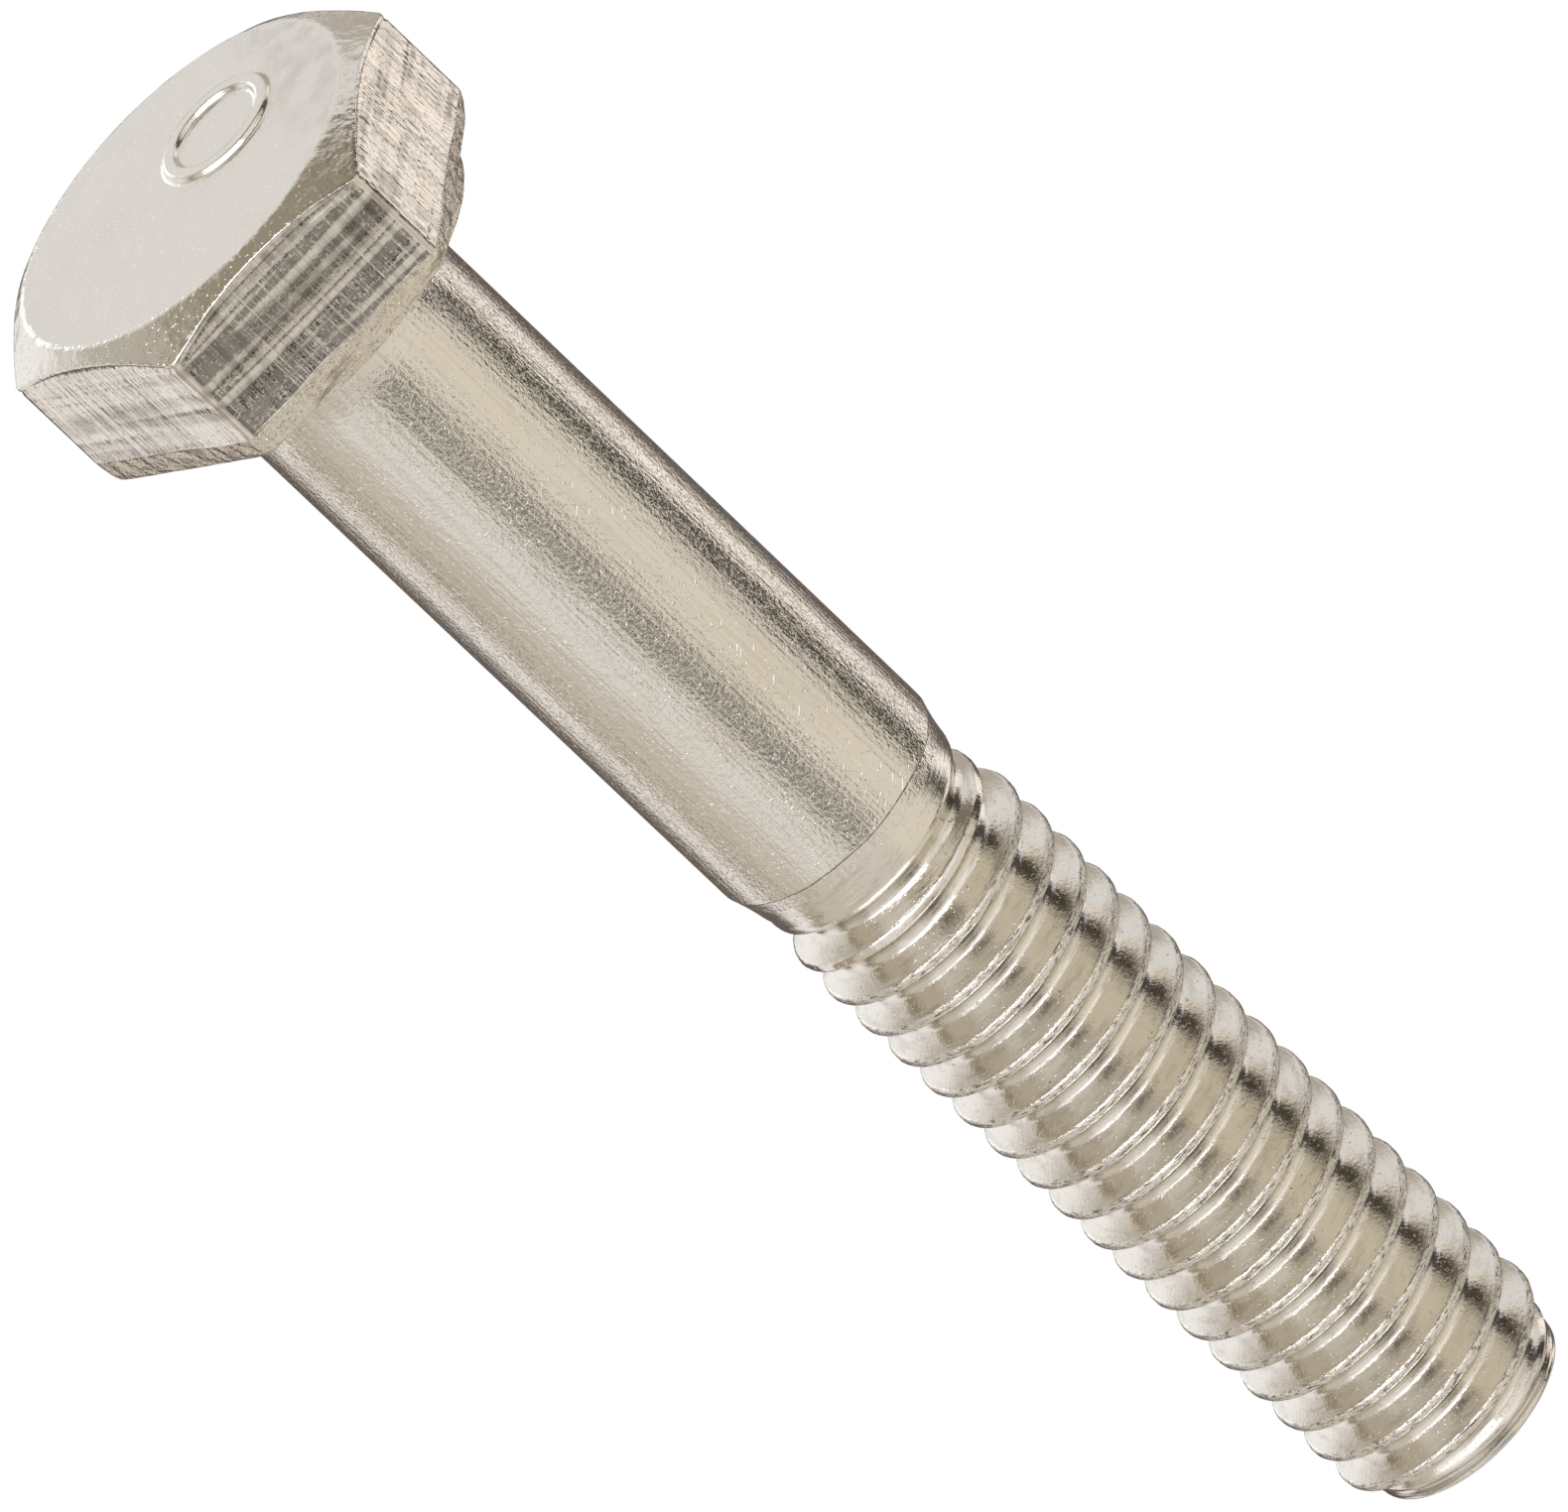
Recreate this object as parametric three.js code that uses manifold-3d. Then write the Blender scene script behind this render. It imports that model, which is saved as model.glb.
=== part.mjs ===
// Hex cap screw, 5/16-18 UNC x 2 in, zinc-plated steel, in millimetres.
// It is one piece: a bar that is headed cold, trimmed to a hexagon and then thread-rolled.
// +Z runs up the axis. The origin is the centre of the flat crown on top of the head.
import * as THREE from 'three';
import { mergeVertices } from 'three/addons/utils/BufferGeometryUtils.js';
import Module from 'manifold-3d';

const wasm = await Module();
wasm.setup();

const INCH = 25.4;
const TURN = 2 * Math.PI;
const TAN30 = Math.tan(Math.PI / 6);

// ---- driving dimensions ----

const acrossFlats = INCH / 2;
const headHeight = 5.1; // crown to bearing face
const lengthUnderHead = 2 * INCH; // bearing face to point
const shankRadius = 4;
const gripLength = 22.25; // bearing face to the start of the shoulder
const pitch = INCH / 18;
const crestRadius = 3.93;
const rootRadius = 3.11;

// head details
const cornerRounding = 0.3;
const crownRadius = 5.9; // edge of the flat crown, where the 30 degree chamfer starts
const washerFaceRadius = 6.2;
const washerFaceThickness = 0.25;
const undersideBreak = 0.2; // height over which the corners are broken below the flats
const filletRadius = 0.35; // under the head

// thread details
const basicMajorRadius = (5 / 16) * INCH / 2;
const neckRadius = 3.66; // where the thread fades out
const neckLength = 1.65; // shoulder start to thread start
const shoulderDrop = 0.75; // length of the rounded step from shank to neck
const shoulderShare = 0.66; // share of the whole reduction that the step makes
const runOut = 1.9; // length over which the thread reaches its full form
const firstCrestDrop = 0.83; // thread start to the first crest on the +X side
const pointRadius = 3.34; // plain end below the last thread
const pointLength = 0.62;
const pointChamfer = 0.64; // length of the slope from the crests in to the plain end
const pointRounding = 0.15; // edge of the end face

// raised mark on the crown: a plain ring
const markCentre = new THREE.Vector2(1.8, 0.8);
const markOuterRadius = 2;
const markInnerRadius = 1.4;
const markHeight = 0.15;

// fineness
const columns = 32; // round the shank and the thread
const headSegments = 48; // round the turned faces of the head
const cornerSegments = 3; // in each rounded corner of the hexagon

// ---- derived sizes ----

const cornerRadius = acrossFlats / 2 / Math.cos(Math.PI / 6); // before the corners are rounded
const bearingZ = -headHeight;
const hexBottomZ = bearingZ + washerFaceThickness;
const pointZ = bearingZ - lengthUnderHead;
const shoulderZ = bearingZ - gripLength;
const threadTopZ = shoulderZ - neckLength;
const firstCrest = threadTopZ - firstCrestDrop;
const embed = 1; // how far one form runs into the next before they are joined

// ---- helpers ----

// A closed geometry as a solid for booleans. Triangles that merging folds flat are dropped.
function solid(geometry) {
  const bare = geometry.clone();
  bare.deleteAttribute('normal');
  bare.deleteAttribute('uv');
  const merged = mergeVertices(bare, 1e-5);
  const triangles = [];
  for (let i = 0; i < merged.index.count; i += 3) {
    const [a, b, c] = [0, 1, 2].map((k) => merged.index.getX(i + k));
    if (a !== b && b !== c && c !== a) triangles.push(a, b, c);
  }
  return new wasm.Manifold(
    new wasm.Mesh({
      numProp: 3,
      vertProperties: new Float32Array(merged.attributes.position.array),
      triVerts: new Uint32Array(triangles),
    }),
  );
}

function geometryOf(manifold) {
  const mesh = manifold.getMesh();
  const geometry = new THREE.BufferGeometry();
  geometry.setAttribute('position', new THREE.BufferAttribute(mesh.vertProperties, 3));
  geometry.setIndex(new THREE.BufferAttribute(mesh.triVerts, 1));
  geometry.computeVertexNormals();
  return geometry;
}

// A profile of [radius, height] pairs, listed upwards on its outer side, turned about +Z.
function turned(profile, segments) {
  const points = profile.map(([radius, height]) => new THREE.Vector2(radius, height));
  return new THREE.LatheGeometry(points, segments).rotateX(Math.PI / 2);
}

function smoothstep(value) {
  const t = THREE.MathUtils.clamp(value, 0, 1);
  return t * t * (3 - 2 * t);
}

// ---- head ----

// Hexagon with rounded corners, two of them on the X axis, so that two flats face +Y and -Y.
function hexagonShape() {
  const roundingCentre = cornerRadius - cornerRounding / Math.cos(Math.PI / 6);
  const shape = new THREE.Shape();
  for (let corner = 0; corner < 6; corner += 1) {
    const angle = (corner * TURN) / 6;
    const x = roundingCentre * Math.cos(angle);
    const y = roundingCentre * Math.sin(angle);
    shape.absarc(x, y, cornerRounding, angle - TURN / 12, angle + TURN / 12, false);
  }
  return shape;
}

function hexagonPrism() {
  const geometry = new THREE.ExtrudeGeometry(hexagonShape(), {
    depth: -hexBottomZ,
    bevelEnabled: false,
    curveSegments: cornerSegments,
  });
  return geometry.translate(0, 0, hexBottomZ);
}

// The turned outline that the hexagon is cut back to: broken corners below, chamfer above.
function headTurning() {
  const outside = cornerRadius + embed;
  const breakRadius = cornerRadius - undersideBreak / TAN30;
  return turned(
    [
      [0, hexBottomZ],
      [breakRadius, hexBottomZ],
      [outside, hexBottomZ + (outside - breakRadius) * TAN30],
      [outside, -(outside - crownRadius) * TAN30],
      [crownRadius, 0],
      [0, 0],
    ],
    headSegments,
  );
}

function washerFace() {
  return turned(
    [
      [0, bearingZ],
      [washerFaceRadius, bearingZ],
      [washerFaceRadius, hexBottomZ + embed],
      [0, hexBottomZ + embed],
    ],
    headSegments,
  );
}

function crownMark() {
  const draft = markHeight / 2;
  const ring = turned(
    [
      [markInnerRadius, -embed],
      [markOuterRadius, -embed],
      [markOuterRadius, 0],
      [markOuterRadius - draft, markHeight],
      [markInnerRadius + draft, markHeight],
      [markInnerRadius, 0],
      [markInnerRadius, -embed],
    ],
    headSegments / 2,
  );
  return ring.translate(markCentre.x, markCentre.y, 0);
}

// ---- shank and thread ----

// Radius that the blank has at a height: fillet, shank, rounded shoulder, neck.
function blankRadius(z) {
  if (z > bearingZ - filletRadius) {
    const rise = Math.min(z - (bearingZ - filletRadius), filletRadius);
    return shankRadius + filletRadius - Math.sqrt(filletRadius ** 2 - rise ** 2);
  }
  const shoulderFoot = THREE.MathUtils.lerp(shankRadius, neckRadius, shoulderShare);
  const below = shoulderZ - z;
  if (below < shoulderDrop) {
    return THREE.MathUtils.lerp(shankRadius, shoulderFoot, smoothstep(below / shoulderDrop));
  }
  const along = (below - shoulderDrop) / (neckLength - shoulderDrop);
  return THREE.MathUtils.lerp(shoulderFoot, neckRadius, Math.min(along, 1));
}

// Half the width of the ridge at a radius, from the basic 60 degree form.
function ridgeHalfWidth(radius) {
  return pitch / 16 + (basicMajorRadius - radius) * TAN30;
}

// Radius of the full thread at a distance from the middle of a crest, along the axis.
function threadRadius(distance) {
  const fromCrest = Math.abs(distance - pitch * Math.round(distance / pitch));
  const onFlank = basicMajorRadius - (fromCrest - pitch / 16) / TAN30;
  const intoRoot = Math.max(fromCrest - ridgeHalfWidth(rootRadius), 0);
  return THREE.MathUtils.clamp(onFlank, rootRadius - intoRoot * TAN30, crestRadius);
}

// Largest radius that the chamfered, rounded point leaves at a height.
function pointLimit(z) {
  const fromEnd = z - pointZ;
  const share = THREE.MathUtils.clamp((fromEnd - pointLength) / pointChamfer, 0, 1);
  const short = Math.max(pointRounding - fromEnd, 0);
  const rounding = pointRounding - Math.sqrt(pointRounding ** 2 - short ** 2);
  return THREE.MathUtils.lerp(pointRadius, crestRadius, share) - rounding;
}

function surfaceRadius(angle, z) {
  const crestHeight = firstCrest + (pitch * angle) / TURN;
  const formed = smoothstep((threadTopZ - z) / runOut);
  const thread = threadRadius(z - crestHeight);
  return Math.min(THREE.MathUtils.lerp(blankRadius(z), thread, formed), pointLimit(z));
}

// Heights of one column of points, listed upwards. The rings of the point and the shank are
// level, and the rows of the thread climb with the helix, along the edges of its crest and
// root, until they reach the plain end or the neck. share is how far round the column stands,
// from 0 to 1.
function columnHeights(share) {
  const crestEdge = ridgeHalfWidth(crestRadius);
  const rootEdge = ridgeHalfWidth(rootRadius);
  const offsets = [-crestEdge, crestEdge, rootEdge, pitch / 2, pitch - rootEdge];
  const lowestTurn = -Math.ceil((threadTopZ - pointZ) / pitch) - 2;
  const pointShares = [0, 0.2, 0.5, 1];
  const heights = pointShares.map((part) => pointZ + part * pointRounding);
  for (let turn = lowestTurn; turn <= 1; turn += 1) {
    for (const offset of offsets) {
      const z = firstCrest + pitch * (share + turn) + offset;
      heights.push(THREE.MathUtils.clamp(z, pointZ + pointLength, threadTopZ));
    }
  }
  const shoulderShares = [1, 0.8, 0.6, 0.4, 0.2, 0];
  const filletShares = [1, 0.5, 0];
  heights.push(...shoulderShares.map((part) => shoulderZ - part * shoulderDrop));
  heights.push(...filletShares.map((part) => bearingZ - part * filletRadius));
  return [...heights, bearingZ + embed];
}

// After a whole turn each thread row meets the row one pitch above its own start, so the last
// column is the first one again, and the surface closes on itself.
function columnPoints(column) {
  const angle = ((column % columns) * TURN) / columns;
  return columnHeights(column / columns).map((z) => {
    const radius = surfaceRadius(angle, z);
    return new THREE.Vector3(radius * Math.cos(angle), radius * Math.sin(angle), z);
  });
}

function shankAndThread() {
  const positions = [];
  const face = (...corners) => corners.forEach((corner) => positions.push(...corner));
  const low = new THREE.Vector3(0, 0, pointZ);
  const high = new THREE.Vector3(0, 0, bearingZ + embed);
  for (let column = 0; column < columns; column += 1) {
    const near = [low, ...columnPoints(column), high];
    const far = [low, ...columnPoints(column + 1), high];
    for (let row = 0; row < near.length - 1; row += 1) {
      face(near[row], far[row], far[row + 1]);
      face(near[row], far[row + 1], near[row + 1]);
    }
  }
  const geometry = new THREE.BufferGeometry();
  geometry.setAttribute('position', new THREE.Float32BufferAttribute(positions, 3));
  return geometry;
}

// ---- the screw ----

const head = solid(hexagonPrism()).intersect(solid(headTurning())).add(solid(washerFace()));
const screw = head.add(solid(crownMark())).add(solid(shankAndThread()));

const zincPlate = new THREE.MeshStandardMaterial({ color: 0xc9c3b6, roughness: 0.3, metalness: 1 });
const hexBolt = new THREE.Mesh(geometryOf(screw), zincPlate);
hexBolt.name = 'hex_bolt';

const part = new THREE.Group();
part.add(hexBolt);

export default part;
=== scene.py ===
"""Looks of the hex bolt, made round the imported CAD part. Metres, in the part's own frame."""
import math

import bmesh
import bpy
import numpy as np
from mathutils import Matrix, Vector


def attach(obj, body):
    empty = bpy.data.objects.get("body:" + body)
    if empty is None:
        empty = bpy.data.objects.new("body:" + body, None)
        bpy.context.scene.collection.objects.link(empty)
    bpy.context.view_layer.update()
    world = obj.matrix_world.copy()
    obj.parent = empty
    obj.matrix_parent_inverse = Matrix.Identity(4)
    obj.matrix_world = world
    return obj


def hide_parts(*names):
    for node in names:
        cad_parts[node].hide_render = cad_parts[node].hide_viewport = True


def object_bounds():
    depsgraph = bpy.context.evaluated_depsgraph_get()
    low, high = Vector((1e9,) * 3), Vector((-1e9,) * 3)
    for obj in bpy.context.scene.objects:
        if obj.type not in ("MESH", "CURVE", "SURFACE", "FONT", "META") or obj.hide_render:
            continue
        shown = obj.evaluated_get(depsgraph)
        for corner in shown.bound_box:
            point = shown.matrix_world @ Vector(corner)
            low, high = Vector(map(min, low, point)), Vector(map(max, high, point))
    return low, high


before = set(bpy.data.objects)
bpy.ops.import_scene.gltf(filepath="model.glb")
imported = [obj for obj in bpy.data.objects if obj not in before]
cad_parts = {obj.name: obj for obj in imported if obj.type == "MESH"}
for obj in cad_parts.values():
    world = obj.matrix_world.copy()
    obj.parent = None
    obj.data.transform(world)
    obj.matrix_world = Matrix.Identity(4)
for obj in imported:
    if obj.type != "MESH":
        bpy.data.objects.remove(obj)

cad_low, cad_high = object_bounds()

MM = 0.001
INCH = 25.4
TURN = 2 * math.pi
TAN30 = math.tan(math.radians(30))

# ---- sizes of the bolt, in millimetres ----

# head
BURR = 0.02  # how far the burr and the bead stand out of the flats
HALF_FLATS = cad_high.y / MM - BURR
BEARING_Z = cad_low.z / MM + 2 * INCH
HEAD_OFFSET = 0.03  # the head was upset a little off the shank's axis
BACK_SINK = 0.08  # how much lower the back edge of the crown is
CORNER_ROUNDING = 0.36
CROWN_RADIUS = 5.9  # where the 30 degree chamfer starts
CROWN_EDGE = 0.13  # tangent length of the rounded edge between crown and chamfer
CHAMFER_END = 0.05  # the chamfer stops this far inside the hexagon, short of the burr
LOWER_LINE_Z = BEARING_Z + 1  # lower end of the trimmed flats
LOWER_LINE_WANDER = 0.05
HEX_BOTTOM_Z = BEARING_Z + 0.3
HEX_SKEW = 0.2  # half the difference in height between the +X and -X sides of its lower edge
RIM_DEPTH = 0.1  # how far the rim is drawn in under the flats; it is more at the corners
WASHER_RADIUS = 6.12
FILLET_RADIUS = 0.35

# raised ring on the crown
MARK_CENTRE = (1.8, 0.8)
MARK_INNER = 1.4
MARK_OUTER = 2
MARK_WALL = 0.12  # width of its sloping walls
MARK_HEIGHT = cad_high.z / MM - 0.01

# shank, shoulder and neck
SHANK_RADIUS = 4.02
SHANK_TAPER = 0.02
SHOULDER_Z = BEARING_Z - 22.33
SHOULDER_ROUNDING = 0.05  # how much the shank is rounded off above the shoulder
SHOULDER_LENGTH = 0.9  # length of that rounding
LIP = 0.03  # how far the shank overhangs the neck
LIP_LENGTH = 0.03  # length of that step along the axis
SHOULDER_SLOPE = 0.27  # how much the radius shrinks in each millimetre below the lip
NECK_RADIUS = 3.74
NECK_SLOPE = 0.14  # how much the radius shrinks in each millimetre of the neck
NECK_START = 0.6  # distance below the shoulder where the neck has its radius

# thread
PITCH = INCH / 18
BASIC_MAJOR_RADIUS = 5 / 16 * INCH / 2
CREST_RADIUS = 3.93
TAN_FLANK = math.tan(math.radians(28.5))
SIN_FLANK = math.sin(math.atan(TAN_FLANK))
COS_FLANK = math.cos(math.atan(TAN_FLANK))
APEX_RADIUS = BASIC_MAJOR_RADIUS - PITCH * 7 / 16 / TAN_FLANK  # where the flanks would meet
ROOT_ROUNDING = 0.27  # radius of the round root
THREAD_TOP_Z = BEARING_Z - 23.1
FIRST_CREST_Z = BEARING_Z - 24.82  # on the +X side
CREST_RISE_START = 1.0  # below the top of the thread, where the crests start to rise
CREST_RISE = 2.0  # length over which they reach their full radius
GROOVE_START = 0.36  # below the top of the thread, where the groove starts
GROOVE_RUN_OUT = 1.8  # length over which it reaches its full depth

# point
POINT_Z = cad_low.z / MM + 0.08  # the end is sheared a little short
POINT_RADIUS = 3.4  # plain end below the last thread
POINT_LENGTH = 0.55
POINT_ROUNDING = 0.12
POINT_TAPER = 0.06  # how much the plain end narrows in each millimetre
POINT_SLOPE = 0.9  # how much the radius grows in each millimetre between it and the crests
TOOL_MARKS = 0.014  # depth of the turning marks
THREAD_BOTTOM_Z = POINT_Z + 0.6

COLUMNS = 222  # round the axis, 37 to each side of the hexagon


# ---- maths helpers ----


def lerp(a, b, share):
    return a + (b - a) * share


def smoothstep(value):
    t = np.clip(value, 0, 1)
    return t * t * (3 - 2 * t)


def soft_min(a, b, width):
    """The smaller of a and b, rounded over where they cross."""
    share = np.clip(0.5 + 0.5 * (b - a) / width, 0, 1)
    return b + (a - b) * share - width * share * (1 - share)


def soft_max(a, b, width):
    return -soft_min(-a, -b, width)


def value_noise(where, seed):
    """Smooth noise from -1 to 1 along a line, one random value at each whole number."""
    count = 4096
    values = np.random.default_rng(seed).uniform(-1, 1, count)
    whole = np.floor(where).astype(int)
    share = smoothstep(where - whole)
    return lerp(values[whole % count], values[(whole + 1) % count], share)


def round_noise(angle, waves, seed):
    """Smooth noise from -1 to 1 that closes on itself round the axis, with that many waves."""
    where = (angle / TURN % 1) * waves
    values = np.random.default_rng(seed).uniform(-1, 1, waves)
    whole = np.floor(where).astype(int)
    share = smoothstep(where - whole)
    return lerp(values[whole % waves], values[(whole + 1) % waves], share)


# ---- camera, fitted to the outline of the bolt in the photo ----

VIEW_ELEVATION = math.radians(26.18)
VIEW_AZIMUTH = math.radians(1.26)
VIEW_ROLL = math.radians(-46.45)
VIEW_DISTANCE = 0.782
VIEW_AIM = Vector((0.06, 0, -25.71)) * MM
LENS = 638.2  # millimetres, like the width of the sensor
SENSOR_WIDTH = 36


def add_camera():
    back = Vector((
        math.cos(VIEW_ELEVATION) * math.sin(VIEW_AZIMUTH),
        -math.cos(VIEW_ELEVATION) * math.cos(VIEW_AZIMUTH),
        math.sin(VIEW_ELEVATION),
    ))
    right = Vector((math.cos(VIEW_AZIMUTH), math.sin(VIEW_AZIMUTH), 0))
    up = back.cross(right)
    turn = Matrix((right, up, back)).transposed() @ Matrix.Rotation(VIEW_ROLL, 3, "Z")
    camera = bpy.data.objects.new("camera", bpy.data.cameras.new("camera"))
    camera.data.sensor_width = SENSOR_WIDTH
    camera.data.lens = LENS
    camera.data.clip_start = 0.01
    camera.data.clip_end = 100
    camera.matrix_world = Matrix.Translation(VIEW_AIM + back * VIEW_DISTANCE) @ turn.to_4x4()
    bpy.context.scene.collection.objects.link(camera)
    bpy.context.scene.camera = camera


# ---- shape: rows of points round the axis, listed from the crown out and down to the point ----

SIDE = TURN / 6
CORNER_RADIUS = HALF_FLATS / math.cos(SIDE / 2)
ROUNDING_CENTRE = CORNER_RADIUS - CORNER_ROUNDING / math.cos(SIDE / 2)
ROUNDING_END = math.atan2(
    CORNER_ROUNDING * math.sin(SIDE / 2),
    ROUNDING_CENTRE + CORNER_ROUNDING * math.cos(SIDE / 2),
)


def even_angles():
    return np.arange(COLUMNS + 1) * TURN / COLUMNS


def head_angles():
    """Angles of the columns on the head: close together round the corners of the hexagon."""
    in_corner = 5
    per_side = COLUMNS // 6
    from_corner = np.interp(
        np.arange(per_side),
        [0, in_corner, per_side - in_corner, per_side],
        [0, ROUNDING_END, SIDE - ROUNDING_END, SIDE],
    )
    angles = np.concatenate([from_corner + side * SIDE for side in range(6)])
    return np.append(angles, TURN)


def ring(radius, angle, z, centre=(0, 0)):
    x = centre[0] + radius * np.cos(angle)
    y = centre[1] + radius * np.sin(angle)
    return np.stack([x, y, z + 0 * x], axis=1)


def angle_from_corner(angle):
    return (angle + SIDE / 2) % SIDE - SIDE / 2


def hexagon_radius(angle):
    """Radius of the hexagon with rounded corners, two of them on the X axis."""
    from_corner = angle_from_corner(angle)
    from_flat = angle % SIDE - SIDE / 2
    flat = HALF_FLATS / np.cos(from_flat)
    across = ROUNDING_CENTRE * np.sin(from_corner)
    along = ROUNDING_CENTRE * np.cos(from_corner)
    corner = along + np.sqrt(np.maximum(CORNER_ROUNDING**2 - across**2, 0))
    return np.where(np.abs(from_corner) < ROUNDING_END, corner, flat)


def corner_share(angle):
    """1 at a corner of the hexagon, falling to 0 a little way along each side."""
    reach = 0.12
    return smoothstep(1 - np.abs(angle_from_corner(angle)) / reach)


def mark_height(radius):
    rise = smoothstep((radius - MARK_INNER) / MARK_WALL)
    fall = smoothstep((MARK_OUTER - radius) / MARK_WALL)
    return MARK_HEIGHT * rise * fall


def crown_rows():
    """The crown from its middle out: rings about the mark, then rings that widen to the edge."""
    walls = np.linspace(0, MARK_WALL, 5)
    radii = [0, 0.6, 1.1, 1.3, *(MARK_INNER + walls), 1.6, 1.7, 1.8]
    radii += [*(MARK_OUTER - walls[::-1]), 2.1, 2.2]
    rows = [ring(radius, even_angles(), mark_height(radius), MARK_CENTRE) for radius in radii]
    outermost = CROWN_RADIUS - 1.05 * CROWN_EDGE
    for share in (0.25, 0.5, 0.75, 1):
        angle = lerp(even_angles(), head_angles(), share)
        centre = (lerp(MARK_CENTRE[0], 0, share), lerp(MARK_CENTRE[1], 0, share))
        rows.append(ring(lerp(radii[-1], outermost, share), angle, 0, centre))
    return rows


def chamfer_rows():
    """The rounded edge of the crown, then the 30 degree chamfer out to the hexagon."""
    angle = head_angles()
    rows = []
    for share in np.linspace(0, 1, 5):
        inwards = CROWN_EDGE * (1 - share) ** 2
        outwards = CROWN_EDGE * share**2
        radius = CROWN_RADIUS - inwards + outwards * math.cos(math.pi / 6)
        rows.append(ring(radius, angle, -outwards * math.sin(math.pi / 6)))
    start = CROWN_RADIUS + CROWN_EDGE * math.cos(math.pi / 6)
    for share in (0.25, 0.5, 0.75, 0.9, 1):
        radius = lerp(start, hexagon_radius(angle) - CHAMFER_END, share)
        rows.append(ring(radius, angle, -(radius - CROWN_RADIUS) * TAN30))
    return rows


def lower_line(angle):
    return LOWER_LINE_Z + LOWER_LINE_WANDER * round_noise(angle, 30, 5)


def hex_bottom(angle):
    """The blank was trimmed a little askew, so the hexagon reaches lower on the -X side."""
    return HEX_BOTTOM_Z + HEX_SKEW * np.cos(angle)


BURR_END = 0.18  # distance below the chamfer where the burr ends
# Share of its full height that the burr has at a distance below the chamfer.
BURR_PROFILE = ((0.2, 0), (0.8, 0.02), (1, 0.05), (0.7, 0.09), (0.2, 0.13), (0, BURR_END))
# Share of the way down a flat, and share of its full height that the bead has there.
BEAD_PROFILE = ((0.976, 0), (0.98, 0.6), (0.985, 1), (0.992, 0.8), (1, 0))


def side_rows():
    """The sides of the hexagon: a ragged burr with a faint hollow under it, the flats, and a
    bead along their lower line."""
    angle = head_angles()
    outline = hexagon_radius(angle)
    top = -(outline - CROWN_RADIUS) * TAN30
    ragged = 0.5 + 0.5 * round_noise(angle, 110, 3)
    ragged = ragged * (0.7 + 0.3 * round_noise(angle, 23, 4)) * (1 - corner_share(angle))
    bead = BURR * (0.8 + 0.2 * round_noise(angle, 45, 9)) * (1 - corner_share(angle))
    rows = []
    for out, down in BURR_PROFILE:
        hollow = 0.04 * (1 - out) ** 4
        rows.append(ring(outline - hollow + BURR * out * ragged, angle, top - down))
    even = [(share, 0) for share in np.linspace(0.04, 0.97, 11)]
    for share, out in (*even, *BEAD_PROFILE):
        z = lerp(top - BURR_END, lower_line(angle), share)
        rows.append(ring(outline + bead * out, angle, z))
    return rows


def rim_rows():
    """The rough rim under the sides, drawn in more at the corners, most at the one at +X."""
    angle = head_angles()
    outline = hexagon_radius(angle)
    uneven = 0.03 * round_noise(angle, 90, 6) + 0.03 * round_noise(angle, 37, 7)
    depth = RIM_DEPTH + RIM_DEPTH * corner_share(angle) * (1 + 0.9 * np.cos(angle))
    rows = []
    for share in (0.06, 0.12, 0.25, 0.45, 0.65, 0.85, 0.95, 1):
        drawn_in = depth * share**1.6
        turned_under = 0.06 * share**12
        radius = outline - drawn_in - turned_under - np.abs(uneven) * share * 0.3
        rows.append(ring(radius, angle, lerp(lower_line(angle), hex_bottom(angle), share)))
    return rows


# How far inside its radius the edge of the washer face is, at a share of the way down.
WASHER_EDGE = ((0.05, 0.3), (0.05, 0.8), (0.08, 0.95), (0.12, 1))


def washer_rows():
    """The underside of the hexagon, the edge of the washer face and the washer face itself."""
    head = head_angles()
    last = rim_rows()[-1]
    outline = np.hypot(last[:, 0], last[:, 1])
    rows = []
    for share in (0.3, 0.95):
        radius = lerp(outline, WASHER_RADIUS - 0.05, share)
        rows.append(ring(radius, head, hex_bottom(head) - 0.02 * share))
    uneven = 0.03 * round_noise(head, 60, 8)
    for inwards, share in WASHER_EDGE:
        radius = WASHER_RADIUS - inwards - np.abs(uneven)
        rows.append(ring(radius, head, lerp(hex_bottom(head), BEARING_Z, share)))
    foot = SHANK_RADIUS + FILLET_RADIUS
    for share in (0.1, 0.6, 1):
        angle = lerp(head, even_angles(), share)
        rows.append(ring(lerp(WASHER_RADIUS - 0.15, foot, share), angle, BEARING_Z))
    return rows


def settled(row):
    """A row of the head as forged: a little off the axis, its back edge a little low."""
    back = smoothstep((row[:, 1] - 2) / 4)
    upper = smoothstep((row[:, 2] + 2) / 1.5)
    sunk = BACK_SINK * back * upper
    return row + np.stack([0 * sunk + HEAD_OFFSET, 0 * sunk, -sunk], axis=1)


def fillet_rows():
    angle = even_angles()
    rows = []
    for turn in np.linspace(0.2, 1, 5) * math.pi / 2:
        radius = SHANK_RADIUS + FILLET_RADIUS * (1 - math.sin(turn))
        rows.append(ring(radius, angle, BEARING_Z - FILLET_RADIUS * (1 - math.cos(turn))))
    return rows


def shoulder_wander(angle):
    return 0.025 * round_noise(angle, 26, 13) + 0.015 * round_noise(angle, 60, 14)


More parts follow.
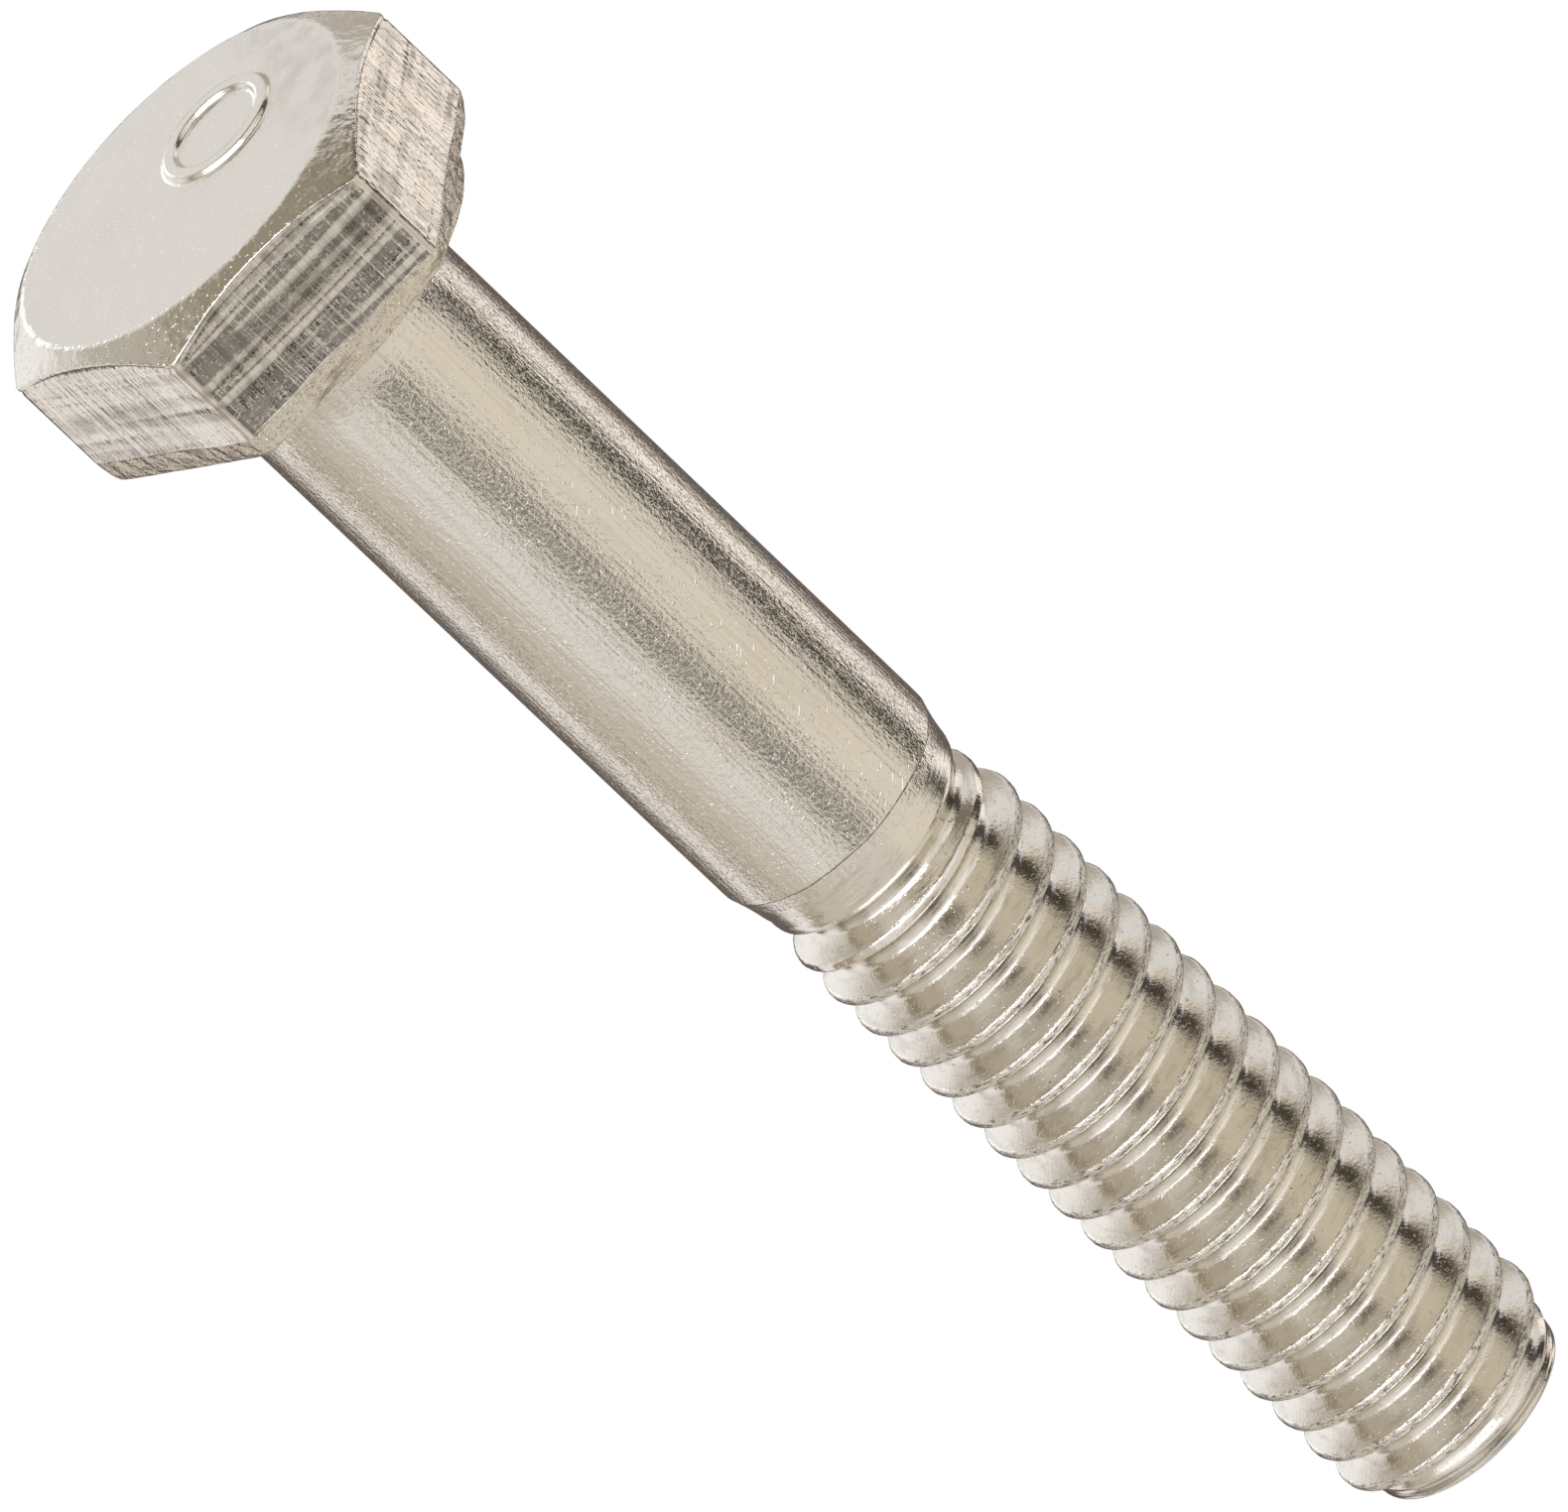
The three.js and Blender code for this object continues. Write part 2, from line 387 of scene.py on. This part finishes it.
def shank_radius(angle, z):
    """Radius of the blank: a nearly straight shank that rounds off to the shoulder, where it
    overhangs the tapered neck by a lip."""
    taper = SHANK_TAPER * (BEARING_Z - z) / (BEARING_Z - SHOULDER_Z)
    wander = 0.006 * round_noise(angle, 9, 11) + 0.003 * round_noise(angle, 31, 12)
    below = SHOULDER_Z + shoulder_wander(angle) - z
    near = np.maximum(1 + np.minimum(below, 0) / SHOULDER_LENGTH, 0)
    rounding = SHOULDER_ROUNDING * near**2
    lip = LIP * smoothstep(below / LIP_LENGTH)
    slope = SHOULDER_SLOPE * np.maximum(below, 0)
    body = SHANK_RADIUS - taper + wander - rounding - lip - slope
    return soft_max(body, NECK_RADIUS - NECK_SLOPE * (below - NECK_START), 0.06)


def thread_radius(distance, along, z):
    """Radius of the full thread at a distance from the middle of a crest, along the axis.
    along is the place on the helix, in turns. The root is a little rounder near the point, and
    a faint seam from the rolling runs along the crest."""
    from_crest = np.abs(distance)
    worn = 0.014 * value_noise(along * 70, 21) + 0.008 * value_noise(along * 190, 22)
    flank = BASIC_MAJOR_RADIUS - (from_crest - PITCH / 16) / TAN_FLANK
    root = ROOT_ROUNDING + 0.04 * smoothstep((POINT_Z + 2 - z) / 1.5)
    from_root = np.minimum(PITCH / 2 - from_crest, root * 0.999)
    centre = APEX_RADIUS + root / SIN_FLANK
    arc = centre - np.sqrt(root**2 - from_root**2)
    groove = np.where(from_root < root * COS_FLANK, arc, flank)
    seam = np.exp(-(((distance + 0.02) / 0.035) ** 2))
    seam = 0.022 * seam * (1 + value_noise(along * 90, 23))
    return soft_min(groove, CREST_RADIUS + worn, 0.05) - seam


def point_radius(z):
    """The slope in from the crests, then the plain end with its rounded edge."""
    from_end = z - POINT_Z
    slope = POINT_RADIUS + POINT_SLOPE * (from_end - POINT_LENGTH)
    short = np.minimum(np.maximum(POINT_ROUNDING - from_end, 0), POINT_ROUNDING)
    rounding = POINT_ROUNDING - np.sqrt(POINT_ROUNDING**2 - short**2)
    end = POINT_RADIUS - POINT_TAPER * (POINT_LENGTH - from_end)
    return soft_min(soft_max(end, slope, 0.06), CREST_RADIUS + 0 * z, 0.1) - rounding


def surface_radius(angle, z):
    """Radius of the shank, the neck, the thread and the point. The last groove fills up
    towards the plain end."""
    crest_z = FIRST_CREST_Z + PITCH * angle / TURN
    turn = np.round((z - crest_z) / PITCH)
    distance = z - crest_z - turn * PITCH
    along = angle / TURN + turn
    below = THREAD_TOP_Z - z
    raised = smoothstep((below - CREST_RISE_START) / CREST_RISE)
    cut = smoothstep((below - GROOVE_START) / GROOVE_RUN_OUT)
    outside = lerp(shank_radius(angle, z), CREST_RADIUS, raised)
    radius = outside - (CREST_RADIUS - thread_radius(distance, along, z)) * cut
    filled = smoothstep((POINT_Z + 1 - z) / 0.4)
    radius = lerp(radius, soft_max(radius, POINT_RADIUS + 0 * radius, 0.06), filled)
    from_end = z - POINT_Z
    turned = smoothstep((1 - from_end) / 0.3)
    marks = value_noise(from_end * 11 + 40, 24) + 0.5 * value_noise(from_end * 19 + 40, 25)
    return soft_min(radius, point_radius(z), 0.05) + TOOL_MARKS * turned * (marks - 1.5)


def level_rows(heights):
    angle = even_angles()
    return [ring(surface_radius(angle, z + 0 * angle), angle, z) for z in heights]


def shoulder_rows(distances):
    """Rows that follow the wandering edge of the shoulder, at distances below it."""
    angle = even_angles()
    rows = []
    for below in distances:
        z = SHOULDER_Z + shoulder_wander(angle) - below
        rows.append(ring(surface_radius(angle, z), angle, z))
    return rows


# Distances of the thread's rows below the middle of a crest: crest, flank, root, flank, crest.
ROOT_STEPS = [PITCH / 2 + step for step in (-0.24, -0.16, -0.08, 0, 0.08, 0.16, 0.24)]
THREAD_STEPS = [0, 0.07, 0.13, 0.17, 0.32, *ROOT_STEPS, 1.09, 1.24, 1.28, 1.34]


def thread_rows():
    """Rows that climb with the helix, listed downwards. Each row ends one pitch above its
    start."""
    angle = even_angles()
    turns = math.ceil((FIRST_CREST_Z - THREAD_BOTTOM_Z) / PITCH) + 1
    rows = []
    for turn in range(-2, turns):
        for step in THREAD_STEPS:
            z = FIRST_CREST_Z + PITCH * (angle / TURN - turn) - step
            z = np.clip(z, THREAD_BOTTOM_Z, THREAD_TOP_Z)
            rows.append(ring(surface_radius(angle, z), angle, z))
    return rows


def point_rows():
    """The plain end, then its face, drawn together to the axis."""
    rows = level_rows(np.linspace(THREAD_BOTTOM_Z, POINT_Z + 0.02, 20)[1:])
    last = rows[-1]
    for share in (0.97, 0.9, 0.6, 0):
        rows.append(np.concatenate([last[:, :2] * share, last[:, 2:] * 0 + POINT_Z], axis=1))
    return rows


def bolt_sections():
    """All rows of the bolt, in sections that each have their own finish."""
    shank = level_rows(np.linspace(BEARING_Z - 0.45, SHOULDER_Z + 1, 14))
    return [
        ("crown", [settled(row) for row in crown_rows()]),
        ("chamfer", [settled(row) for row in chamfer_rows()]),
        ("flats", [settled(row) for row in side_rows()]),
        ("rim", [settled(row) for row in rim_rows() + washer_rows()]),
        ("rim", fillet_rows()),
        ("shank", shank),
        ("shank", shoulder_rows((-0.6, -0.35, -0.2, -0.1, -0.05, 0))),
        # painted shadow: a thin dark band just under the lip of the shoulder
        ("seam", shoulder_rows((0.01, 0.02, 0.05))),
        ("shank", shoulder_rows((0.1, 0.2, 0.32, 0.44, 0.56))),
        ("thread", thread_rows()),
        ("thread", point_rows()),
    ]


def add_bolt(finishes):
    """The bolt as one closed mesh, from a dictionary of its finishes by name."""
    sections = bolt_sections()
    names = list(finishes)
    rows = [row for _, section in sections for row in section]
    row_finish = [names.index(name) for name, section in sections for _ in section]
    width = COLUMNS + 1
    low = (np.arange(len(rows) - 1)[:, None] * width + np.arange(COLUMNS)[None, :]).ravel()
    faces = np.stack([low, low + width, low + width + 1, low + 1], axis=1)
    mesh = bpy.data.meshes.new("bolt")
    mesh.from_pydata((np.concatenate(rows) * MM).tolist(), [], faces.tolist())
    for material in finishes.values():
        mesh.materials.append(material)
    # Each face has the finish of its lower row.
    mesh.polygons.foreach_set("material_index", np.repeat(row_finish[1:], COLUMNS))
    builder = bmesh.new()
    builder.from_mesh(mesh)
    # Joins the last column to the first, and the thread's rows where they are cut off level.
    bmesh.ops.remove_doubles(builder, verts=builder.verts, dist=2e-7)
    bmesh.ops.recalc_face_normals(builder, faces=builder.faces)
    builder.to_mesh(mesh)
    builder.free()
    mesh.shade_smooth()
    bolt = bpy.data.objects.new("bolt", mesh)
    bpy.context.scene.collection.objects.link(bolt)
    return bolt


# ---- node helpers ----


def connect(tree, value, socket):
    """Feeds a socket from another node's output, or sets it to a number or a colour."""
    if isinstance(value, bpy.types.NodeSocket):
        tree.links.new(value, socket)
    else:
        socket.default_value = value


def math_node(tree, operation, *values):
    """A maths node; each value is a number or another node's output."""
    node = tree.nodes.new("ShaderNodeMath")
    node.operation = operation
    for socket, value in zip(node.inputs, values):
        connect(tree, value, socket)
    return node.outputs[0]


def components(tree, vector):
    """The x, y and z of a vector."""
    node = tree.nodes.new("ShaderNodeSeparateXYZ")
    tree.links.new(vector, node.inputs[0])
    return node.outputs


def azimuth_of(tree, x, y):
    """The direction round the axis: 0 at -Y, towards the front, and rising to the right."""
    return math_node(tree, "ARCTAN2", x, math_node(tree, "MULTIPLY", y, -1))


def window(tree, value, half, soft):
    """1 while value, a distance, is under half, falling smoothly to 0 over soft each side of it."""
    node = tree.nodes.new("ShaderNodeMapRange")
    node.interpolation_type = "SMOOTHSTEP"
    connect(tree, value, node.inputs["Value"])
    node.inputs["From Min"].default_value = half + soft
    node.inputs["From Max"].default_value = half - soft
    return node.outputs["Result"]


def mix_colour(tree, factor, a, b, blend="MIX"):
    node = tree.nodes.new("ShaderNodeMix")
    node.data_type = "RGBA"
    node.blend_type = blend
    connect(tree, factor, node.inputs["Factor"])
    connect(tree, a, node.inputs["A"])
    connect(tree, b, node.inputs["B"])
    return node.outputs["Result"]


def linear(value):
    """A colour value from 0 to 255 as light, by the sRGB curve."""
    value = value / 255
    return value / 12.92 if value <= 0.04045 else ((value + 0.055) / 1.055) ** 2.4


# ---- light ----

ZINC = (0.80, 0.765, 0.70)
STAIN = (0.86, 0.82, 0.74)  # what a stain leaves of the zinc's colour
# brown of dirt; the same colour also paints shade in the hollows of the flats' bands and under the
# shoulder's lip
GRIME_AND_SHADE = (0.13, 0.10, 0.075, 1)


def light_for(*seen):
    """The light that zinc has to mirror for it to look that colour."""
    return tuple(linear(value) / share for value, share in zip(seen, ZINC)) + (1,)


# Cloths, gaps and cards of the tent, painted one over the other: azimuth from the front and
# elevation in degrees, half their width and height, softness of their edges, and the colour
# that the zinc looks where it mirrors them.
#   azimuth, half width, elevation, half height, softness, colour
TENT_COLOUR = (190, 181, 166)
CARDS = {
    "table": (0, 200, -75, 37, 6, (202, 194, 179)),
    "roof": (0, 200, 90, 30, 9, (145, 134, 115)),
    "back_cloth": (180, 75, 24, 26, 8, (215, 210, 202)),
    "back_left_cloth": (-156, 16, 9, 14, 6, (236, 231, 223)),
    "back_left_light": (-168, 5, 20, 5, 3, (360, 356, 348)),
    "back_right_cloth": (146, 22, 10, 14, 7, (170, 161, 146)),
    "left_upper_cloth": (-130, 28, 48, 15, 8, (178, 170, 154)),
    "left_front_cloth": (-40, 20, -22, 38, 5, (217, 210, 200)),
    "left_cloth": (-84, 11, -22, 38, 5, (192, 182, 165)),
    "left_gap": (-101, 6, -2, 62, 4, (152, 138, 117)),
    "left_rear_cloth": (-119, 10, -22, 38, 4, (232, 224, 215)),
    "rear_gap": (180, 46, -27, 20, 5, (98, 88, 80)),
    "left_lower_cloth": (-48, 28, -44, 9, 5, (190, 181, 164)),
    "right_rear_cloth": (121, 10, -22, 38, 4, (252, 239, 224)),
    "right_front_cloth": (43, 28, -22, 38, 6, (214, 203, 184)),
    "right_gap": (94, 11, -3, 64, 4, (68, 62, 54)),
    "right_upper_gap": (102, 28, 54, 10, 6, (118, 107, 92)),
    "front_gap": (2.5, 15, -24.5, 6, 3, (129, 123, 114)),
    "camera": (0, 5.5, -14.5, 4, 2, (40, 40, 40)),
    "front_cloth": (-10, 60, 24, 11, 5, (236, 230, 219)),
    "fill_light": (44, 34, 47, 8, 6, (232, 226, 216)),
    "key_light": (-34, 44, 51, 12, 10, (460, 456, 448)),
}


def add_tent():
    """The world as a photographer's tent, painted by direction."""
    world = bpy.data.worlds.new("tent")
    world.use_nodes = True
    tree = world.node_tree
    x, y, z = components(tree, tree.nodes.new("ShaderNodeTexCoord").outputs["Generated"])
    azimuth = math_node(tree, "DEGREES", azimuth_of(tree, x, y))
    elevation = math_node(tree, "DEGREES", math_node(tree, "ARCSINE", z))
    colour = light_for(*TENT_COLOUR)
    for middle, half_width, height, half_height, soft, seen in CARDS.values():
        turned = math_node(tree, "WRAP", math_node(tree, "SUBTRACT", azimuth, middle), 180, -180)
        risen = math_node(tree, "SUBTRACT", elevation, height)
        across = window(tree, math_node(tree, "ABSOLUTE", turned), half_width, soft)
        upwards = window(tree, math_node(tree, "ABSOLUTE", risen), half_height, soft)
        inside = math_node(tree, "MULTIPLY", across, upwards)
        colour = mix_colour(tree, inside, colour, light_for(*seen))
    tree.links.new(colour, tree.nodes["Background"].inputs["Color"])
    bpy.context.scene.world = world


# Radius and height in metres of the rings of the table, outwards from its middle.
FLOOR_PROFILE = ((1.1, 0), (1.35, 0.07), (1.5, 0.2), (1.58, 0.4), (1.6, 0.6), (1.6, 2))
FLOOR_SEGMENTS = 64


def floor_white():
    """A surface that gives white light and mirrors none."""
    material = bpy.data.materials.new("floor_white")
    material.use_nodes = True
    shader = material.node_tree.nodes["Principled BSDF"]
    shader.inputs["Base Color"].default_value = (0, 0, 0, 1)
    shader.inputs["Roughness"].default_value = 1
    shader.inputs["Specular IOR Level"].default_value = 0
    shader.inputs["Emission Color"].default_value = (1, 1, 1, 1)
    shader.inputs["Emission Strength"].default_value = 1
    return material


def add_floor():
    """A plain white light table that curves up well behind the part. The metal mirrors the
    tent instead."""
    angles = np.arange(FLOOR_SEGMENTS) * TURN / FLOOR_SEGMENTS
    vertices = [(0, 0, cad_low.z)]
    for radius, height in FLOOR_PROFILE:
        vertices += ring(radius, angles, cad_low.z + height).tolist()
    neighbours = [(step, (step + 1) % FLOOR_SEGMENTS) for step in range(FLOOR_SEGMENTS)]
    faces = [(1 + a, 1 + b, 0) for a, b in neighbours]
    for inner in range(1, len(vertices) - FLOOR_SEGMENTS, FLOOR_SEGMENTS):
        outer = inner + FLOOR_SEGMENTS
        faces += [(outer + a, outer + b, inner + b, inner + a) for a, b in neighbours]
    mesh = bpy.data.meshes.new("floor")
    mesh.from_pydata(vertices, [], faces)
    mesh.materials.append(floor_white())
    floor = bpy.data.objects.new("floor", mesh)
    floor.visible_glossy = False
    floor.visible_diffuse = False
    bpy.context.scene.collection.objects.link(floor)


# ---- finishes ----


def millimetres(tree):
    """The place on the bolt in millimetres."""
    scale = tree.nodes.new("ShaderNodeVectorMath")
    scale.operation = "SCALE"
    scale.inputs["Scale"].default_value = 1 / MM
    tree.links.new(tree.nodes.new("ShaderNodeTexCoord").outputs["Object"], scale.inputs[0])
    return scale.outputs[0]


def noise(tree, place, size, detail=2.0, rough=0.5):
    """Noise from 0 to 1 with features of a size in millimetres, along x, y and z."""
    mapping = tree.nodes.new("ShaderNodeMapping")
    sizes = size if isinstance(size, tuple) else (size, size, size)
    mapping.inputs["Scale"].default_value = [1 / value for value in sizes]
    tree.links.new(place, mapping.inputs["Vector"])
    node = tree.nodes.new("ShaderNodeTexNoise")
    node.inputs["Scale"].default_value = 1
    node.inputs["Detail"].default_value = detail
    node.inputs["Roughness"].default_value = rough
    tree.links.new(mapping.outputs[0], node.inputs["Vector"])
    return node.outputs["Fac"]


def spread(tree, value, low, high, to_low=0.0, to_high=1.0):
    """value from low to high as a smooth rise from to_low to to_high."""
    node = tree.nodes.new("ShaderNodeMapRange")
    node.interpolation_type = "SMOOTHSTEP"
    tree.links.new(value, node.inputs["Value"])
    node.inputs["From Min"].default_value = low
    node.inputs["From Max"].default_value = high
    node.inputs["To Min"].default_value = to_low
    node.inputs["To Max"].default_value = to_high
    return node.outputs["Result"]


def bump(tree, height, size, slope, normal=None):
    """Tilts the normal as if height, from 0 to 1 over features of a size in millimetres, stood
    out of the surface with slopes of that many degrees."""
    node = tree.nodes.new("ShaderNodeBump")
    node.inputs["Strength"].default_value = 1
    node.inputs["Distance"].default_value = 2 * size * math.tan(math.radians(slope)) * MM
    tree.links.new(height, node.inputs["Height"])
    if normal is not None:
        tree.links.new(normal, node.inputs["Normal"])
    return node.outputs["Normal"]


def finish(
    name, roughness, grain, lines, nicks, streaks=0.0, tint=(1, 1, 1), stains=0.2, specks=0.3
):
    """Zinc plate as a material.

    grain and lines are each a size in millimetres and a slope in degrees: grain has no
    direction, and lines run along the axis. nicks is the slope of small dents, and streaks is
    how much darker the bottoms of the lines are. tint multiplies the colour, stains is the
    strength of soft brownish clouds, and specks is that of small spots of dirt.

    Returns the material, its tree, the place and the shader, for what only one finish has."""
    material = bpy.data.materials.new(name)
    material.use_nodes = True
    tree = material.node_tree
    shader = tree.nodes["Principled BSDF"]
    shader.inputs["Metallic"].default_value = 1
    place = millimetres(tree)

    plain = tuple(a * b for a, b in zip(ZINC, tint)) + (1,)
    stained = tuple(a * b for a, b in zip(plain, STAIN)) + (1,)
    cloud = spread(tree, noise(tree, place, 2.5, 4, 0.6), 0.42, 0.72)
    colour = mix_colour(tree, math_node(tree, "MULTIPLY", cloud, stains), plain, stained)
    width = lines[0]
    lined = noise(tree, place, (width, width, 70 * width), 2, 0.6)
    darker = spread(tree, lined, 0.35, 0.55, 1 - streaks, 1)
    colour = mix_colour(tree, 1.0, colour, darker, "MULTIPLY")
    dirt = spread(tree, noise(tree, place, 0.12, 2, 0.5), 0.68, 0.72)
    where = spread(tree, noise(tree, place, 1.7, 2, 0.5), 0.45, 0.65)
    dirt = math_node(tree, "MULTIPLY", math_node(tree, "MULTIPLY", dirt, where), specks)
    colour = mix_colour(tree, dirt, colour, GRIME_AND_SHADE)
    tree.links.new(colour, shader.inputs["Base Color"])

    wear = noise(tree, place, 0.5, 4, 0.6)
    worn = spread(tree, wear, 0.3, 0.7, roughness * 0.8, roughness * 1.25)
    tree.links.new(worn, shader.inputs["Roughness"])

    dents = spread(tree, noise(tree, place, 0.12, 1, 0.5), 0.64, 0.72)
    normal = bump(tree, dents, 0.04, nicks)
    normal = bump(tree, noise(tree, place, grain[0], 2, 0.6), *grain, normal)
    normal = bump(tree, lined, *lines, normal)
    tree.links.new(normal, shader.inputs["Normal"])
    return material, tree, place, shader


def add_bump(tree, shader, height, size, slope):
    """Adds one more bump to those that the shader already has."""
    normal = shader.inputs["Normal"].links[0].from_socket
    tree.links.new(bump(tree, height, size, slope, normal), shader.inputs["Normal"])


# Mixes that brown into the colour, both for dirt and for painted shade.
def add_grime_and_shade(tree, shader, amount):
    colour = shader.inputs["Base Color"].links[0].from_socket
    tree.links.new(mix_colour(tree, amount, colour, GRIME_AND_SHADE), shader.inputs["Base Color"])


def crown_finish():
    """The upset crown: smooth, with a soft brownish smear towards its right edge."""
    material, tree, place, shader = finish(
        "crown_zinc", roughness=0.16, grain=(0.16, 1.1), lines=(0.3, 0.2), nicks=1.5, specks=0.15
    )
    add_bump(tree, shader, noise(tree, place, 0.9, 2), 0.9, 0.7)
    to_the_right = spread(tree, components(tree, place)[0], 2.5, 5)
    smear = spread(tree, noise(tree, place, 1.3, 5, 0.65), 0.4, 0.66, 0.02, 0.22)
    add_grime_and_shade(tree, shader, math_node(tree, "MULTIPLY", to_the_right, smear))
    return material


def chamfer_finish():
    """Turned chamfer, a little wavy."""
    material, tree, place, shader = finish(
        "chamfer_zinc", roughness=0.15, grain=(0.12, 2), lines=(0.12, 2), nicks=3, specks=0.4
    )
    add_bump(tree, shader, noise(tree, place, 0.6, 2), 0.6, 3)
    return material


def flats_finish():
    """Trimmed sides: fine lines along the axis, and bands across it where the cut chattered, with
    patchy painted shade in the hollows of the bands.
    """
    material, tree, place, shader = finish(
        "flats_zinc", roughness=0.1, grain=(0.12, 1.6), lines=(0.12, 3.4), nicks=2.5, streaks=0.25
    )
    add_bump(tree, shader, noise(tree, place, (0.35, 0.35, 20), 2, 0.6), 0.35, 3)
    bands = noise(tree, place, (9, 9, 0.6), 1, 0.5)
    add_bump(tree, shader, bands, 0.6, 8.5)
    # painted shade: the hollows of the chatter bands are darkened in patches
    hollows = spread(tree, bands, 0.36, 0.5, 1, 0)
    patchy = spread(tree, noise(tree, place, (0.5, 0.5, 3), 3, 0.6), 0.35, 0.65, 0.1, 0.5)
    add_grime_and_shade(tree, shader, math_node(tree, "MULTIPLY", hollows, patchy))
    return material


def rim_finish():
    """Rough forged rim and underside of the head, darkened in brownish patches."""
    material, tree, place, shader = finish(
        "rim_zinc", roughness=0.2, grain=(0.13, 9), lines=(0.15, 5), nicks=14, streaks=0.12,
        tint=(1, 0.965, 0.925), stains=0.4, specks=0.9,
    )
    add_bump(tree, shader, noise(tree, place, 0.5, 3), 0.5, 11)
    patches = spread(tree, noise(tree, place, (1.1, 1.1, 0.35), 4, 0.6), 0.52, 0.68, 0, 0.5)
    add_grime_and_shade(tree, shader, patches)
    return material


def shank_finish():
    """Bright drawn bar: orange peel, lines along the axis and short slanting scratches."""
    material, tree, place, shader = finish(
        "shank_zinc", roughness=0.075, grain=(0.15, 4.8), lines=(0.12, 4), nicks=10, streaks=0.1,
        specks=0.35,
    )
    for slant in (35, -50):
        turned = tree.nodes.new("ShaderNodeVectorRotate")
        turned.rotation_type = "Y_AXIS"
        turned.inputs["Angle"].default_value = math.radians(slant)
        tree.links.new(place, turned.inputs["Vector"])
        strokes = noise(tree, turned.outputs[0], (0.06, 0.3, 1.1), 1, 0.5)
        add_bump(tree, shader, spread(tree, strokes, 0.72, 0.77), 0.03, 12)
    return material


def thread_finish():
    """Rolled thread: smooth flanks with faint smudges, worn crests with nicks and grime, and
    dark turning marks on the point."""
    material, tree, place, shader = finish(
        "thread_zinc", roughness=0.11, grain=(0.14, 1.5), lines=(0.2, 0.3), nicks=2.2, specks=0.7
    )
    x, y, z = components(tree, place)
    x_squared = math_node(tree, "MULTIPLY", x, x)
    y_squared = math_node(tree, "MULTIPLY", y, y)
    radius = math_node(tree, "SQRT", math_node(tree, "ADD", x_squared, y_squared))
    unrolled = tree.nodes.new("ShaderNodeCombineXYZ")
    arc_length = math_node(tree, "MULTIPLY", azimuth_of(tree, x, y), CREST_RADIUS)
    for value, socket in zip((arc_length, z, radius), unrolled.inputs):
        tree.links.new(value, socket)
    along = unrolled.outputs[0]

    crest = spread(tree, radius, CREST_RADIUS - 0.12, CREST_RADIUS - 0.04)
    add_bump(tree, shader, noise(tree, along, (1.2, 0.07, 0.3), 3, 0.6), 0.07, 4)
    rough = math_node(tree, "MULTIPLY", crest, noise(tree, along, (0.16, 0.06, 0.06), 3, 0.7))
    add_bump(tree, shader, rough, 0.06, 16)
    patches = spread(tree, noise(tree, along, (0.35, 0.07, 0.07), 3, 0.7), 0.52, 0.62, 0.0, 0.85)
    add_grime_and_shade(tree, shader, math_node(tree, "MULTIPLY", crest, patches))

    smudges = noise(tree, along, (1.3, 0.35, 0.3), 4, 0.65)
    add_grime_and_shade(tree, shader, spread(tree, smudges, 0.5, 0.7, 0, 0.22))

    at_point = spread(tree, z, POINT_Z + 0.7, POINT_Z + 0.5)
    grooves = spread(tree, noise(tree, place, (6, 6, 0.07), 2, 0.6), 0.48, 0.6, 0, 0.5)
    add_grime_and_shade(tree, shader, math_node(tree, "MULTIPLY", at_point, grooves))
    return material


def lip_shadow_finish():
    """Painted shadow under the lip of the shoulder: a thin dark brown band where the shank
    overhangs the neck.
    """
    material, tree, place, shader = finish(
        "lip_shadow_zinc", roughness=0.3, grain=(0.08, 8), lines=(0.2, 1), nicks=5
    )
    add_grime_and_shade(tree, shader, spread(tree, noise(tree, place, 0.3, 3), 0.35, 0.6, 0.6, 1))
    return material


# ---- the scene ----

bpy.context.scene.view_settings.view_transform = "Standard"
bpy.context.scene.cycles.use_denoising = False  # it would smear the fine grain of the zinc
add_camera()
add_tent()
add_floor()
bolt = add_bolt({
    "crown": crown_finish(),
    "chamfer": chamfer_finish(),
    "flats": flats_finish(),
    "rim": rim_finish(),
    "shank": shank_finish(),
    # painted shadow under the shoulder's lip
    "seam": lip_shadow_finish(),
    "thread": thread_finish(),
})
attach(bolt, "root")
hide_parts("hex_bolt")
